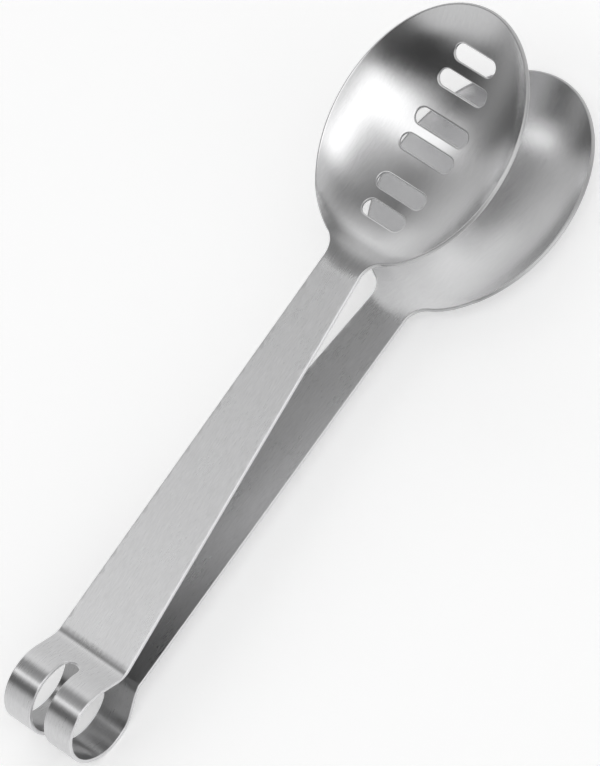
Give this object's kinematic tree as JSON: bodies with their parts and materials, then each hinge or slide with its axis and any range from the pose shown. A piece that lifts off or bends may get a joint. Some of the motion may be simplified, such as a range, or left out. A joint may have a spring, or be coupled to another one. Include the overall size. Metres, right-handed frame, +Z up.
{
  "type": "tea bag squeezer tongs",
  "caption": "Sprung tongs bent from one strip of brushed steel, with a slotted spring loop, tapered legs and nesting oval bowls, the upper one pierced to drain.",
  "frame": {"origin": "on the axis of the spring loop, midway across the strip", "axes": "+X from the loop towards the bowls, +Y across the strip along the loop's axis, +Z up as the tongs lie on the loop and the lower bowl"},
  "size_m": [0.1613, 0.0414, 0.0419],
  "materials": {
    "brushed_steel": "brushed along the strip, with bright sheared edges",
    "satin_steel": "fine satin from pressing and tumbling, with bright sheared edges"
  },
  "bodies": {
    "lower_arm": {"lower_shoulder": "brushed_steel", "lower_leg": "brushed_steel", "lower_bowl": "satin_steel"},
    "spring_loop": {"loop_hoop_left": "brushed_steel", "loop_hoop_right": "brushed_steel"},
    "upper_arm": {"upper_shoulder": "brushed_steel", "upper_leg": "brushed_steel", "upper_bowl": "satin_steel"}
  },
  "joints": [
    {"name": "lower_flex", "type": "hinge", "parent": "lower_arm", "child": "spring_loop", "pos_m": [-0.00247, 0, -0.00608], "axis": [0, 1, 0], "range_deg": [-2, 6], "stiffness_Nm_per_rad": 6.8, "deforming": ["loop_hoop_left", "loop_hoop_right"]},
    {"name": "upper_flex", "type": "hinge", "parent": "spring_loop", "child": "upper_arm", "pos_m": [-0.00347, 0, 0.00557], "axis": [0, 1, 0], "range_deg": [-2, 6], "stiffness_Nm_per_rad": 6.8, "deforming": ["loop_hoop_left", "loop_hoop_right"]}
  ],
  "couplings": [
    {"joint": "upper_flex", "follows": "lower_flex", "ratio": 1}
  ]
}
